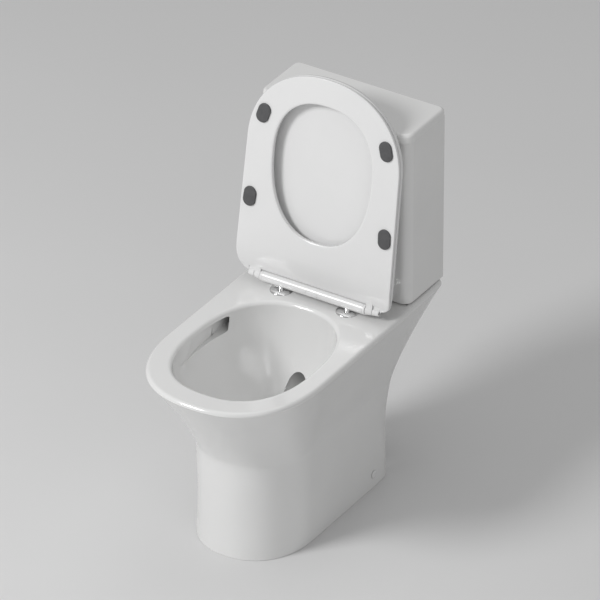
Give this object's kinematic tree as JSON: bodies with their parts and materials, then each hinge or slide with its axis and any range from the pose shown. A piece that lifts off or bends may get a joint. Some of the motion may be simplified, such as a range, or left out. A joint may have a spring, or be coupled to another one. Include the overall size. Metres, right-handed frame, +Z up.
{
  "type": "close coupled toilet",
  "caption": "Floor-standing close coupled toilet: flared white ceramic pan with open back, cistern with push-button lid, raised seat and cover on a quick-release hinge bar.",
  "frame": {"origin": "centre of the bounding box on the floor", "axes": "+X towards the right of someone facing the toilet, +Y back towards the wall, +Z up"},
  "size_m": [0.362, 0.672, 0.8966],
  "materials": {
    "glazed_ceramic": "gloss white glaze",
    "seat_plastic": "gloss white moulded thermoset",
    "white_plastic": "satin white moulding",
    "blue_plastic": "satin pale blue moulding",
    "grey_plastic": "satin dark grey moulding",
    "grey_rubber": "matt dark grey",
    "clear_rubber": "satin pale grey",
    "chrome_trim": "polished",
    "steel": "plain stainless"
  },
  "bodies": {
    "toilet_body": {"pan": "glazed_ceramic", "floor_brackets": "grey_plastic", "side_screws": "steel", "side_screw_caps": "seat_plastic", "cistern": "glazed_ceramic", "cistern_lid": "glazed_ceramic", "cistern_pads": "grey_rubber", "coupling_seal": "grey_rubber", "coupling_bolts": "steel", "bolt_cone_washers": "grey_rubber", "bolt_plate_washers": "steel", "bolt_lower_washers": "grey_rubber", "wing_nuts": "steel", "flush_valve_base": "blue_plastic", "flush_valve_washer": "grey_rubber", "flush_valve_backnut": "white_plastic", "flush_valve_tower": "blue_plastic", "fill_valve_body": "white_plastic", "fill_valve_washer": "grey_rubber", "fill_valve_backnut": "white_plastic", "fill_valve_head": "white_plastic", "button_bezel": "chrome_trim", "button_barrel": "white_plastic", "button_nut": "white_plastic", "full_button_spring": "steel", "half_button_spring": "steel", "hinge_base_left": "chrome_trim", "hinge_base_right": "chrome_trim", "hinge_pillars": "chrome_trim", "hinge_bolts": "steel", "hinge_washers": "grey_rubber", "hinge_nuts": "white_plastic"},
    "hinge_bar_unit": {"hinge_bar": "seat_plastic", "hinge_end_rings": "seat_plastic", "damper_left": "grey_plastic", "damper_right": "grey_plastic", "hinge_pin_left": "steel", "hinge_pin_right": "steel", "release_spring": "steel"},
    "release_catch": {"release_button": "seat_plastic"},
    "latch_slide_left": {"latch_left": "grey_plastic"},
    "latch_slide_right": {"latch_right": "grey_plastic"},
    "cover_flap": {"cover": "seat_plastic", "cover_buffers": "clear_rubber"},
    "seat_ring": {"seat": "seat_plastic", "seat_buffers": "grey_rubber"},
    "full_button": {"full_flush_button": "chrome_trim", "full_push_rod": "white_plastic"},
    "half_button": {"half_flush_button": "chrome_trim", "half_push_rod": "white_plastic"},
    "flush_stem": {"flush_valve_stem": "white_plastic", "flush_seal": "grey_rubber"},
    "rocker": {"flush_rocker": "blue_plastic"},
    "float": {"fill_float": "blue_plastic", "float_link": "steel"},
    "valve_arm": {"float_arm": "blue_plastic"}
  },
  "joints": [
    {"name": "hinge_bar_lift", "type": "slide", "parent": "toilet_body", "child": "hinge_bar_unit", "axis": [0, 0, 1], "range_m": [0, 0.03]},
    {"name": "release_press", "type": "slide", "parent": "hinge_bar_unit", "child": "release_catch", "axis": [0, 1, 0], "range_m": [0, 0.0025], "stiffness_N_per_m": 600, "springref_m": -0.003, "deforming": ["release_spring"]},
    {"name": "latch_left_retract", "type": "slide", "parent": "hinge_bar_unit", "child": "latch_slide_left", "axis": [1, 0, 0], "range_m": [0, 0.0026]},
    {"name": "latch_right_retract", "type": "slide", "parent": "hinge_bar_unit", "child": "latch_slide_right", "axis": [-1, 0, 0], "range_m": [0, 0.0026]},
    {"name": "cover_hinge", "type": "hinge", "parent": "hinge_bar_unit", "child": "cover_flap", "pos_m": [0, 0.1216, 0.4394], "axis": [-1, 0, 0], "range_deg": [-99, 0]},
    {"name": "seat_hinge", "type": "hinge", "parent": "cover_flap", "child": "seat_ring", "pos_m": [0, 0.1216, 0.4394], "axis": [1, 0, 0], "range_deg": [0, 99]},
    {"name": "full_button_press", "type": "slide", "parent": "toilet_body", "child": "full_button", "axis": [0, 0, -1], "range_m": [0, 0.006], "stiffness_N_per_m": 400, "springref_m": -0.004, "deforming": ["full_button_spring"]},
    {"name": "half_button_press", "type": "slide", "parent": "toilet_body", "child": "half_button", "axis": [0, 0, -1], "range_m": [0, 0.006], "stiffness_N_per_m": 400, "springref_m": -0.004, "deforming": ["half_button_spring"]},
    {"name": "stem_lift", "type": "slide", "parent": "toilet_body", "child": "flush_stem", "axis": [0, 0, 1], "range_m": [0, 0.0103]},
    {"name": "rocker_turn", "type": "hinge", "parent": "toilet_body", "child": "rocker", "pos_m": [0.008, 0.28375, 0.628], "axis": [0, 1, 0], "range_deg": [0, 21.6]},
    {"name": "float_rise", "type": "slide", "parent": "toilet_body", "child": "float", "axis": [0, 0, 1], "range_m": [0, 0.012]},
    {"name": "arm_turn", "type": "hinge", "parent": "toilet_body", "child": "valve_arm", "pos_m": [-0.1135, 0.26975, 0.725], "axis": [0, -1, 0], "range_deg": [0, 21.6]}
  ],
  "couplings": [
    {"joint": "latch_left_retract", "follows": "release_press", "ratio": 1},
    {"joint": "latch_right_retract", "follows": "release_press", "ratio": 1},
    {"joint": "stem_lift", "follows": "full_button_press", "ratio": 1.7},
    {"joint": "rocker_turn", "follows": "full_button_press", "rad_per_m": 62.5},
    {"joint": "arm_turn", "follows": "float_rise", "rad_per_m": 30.77}
  ]
}
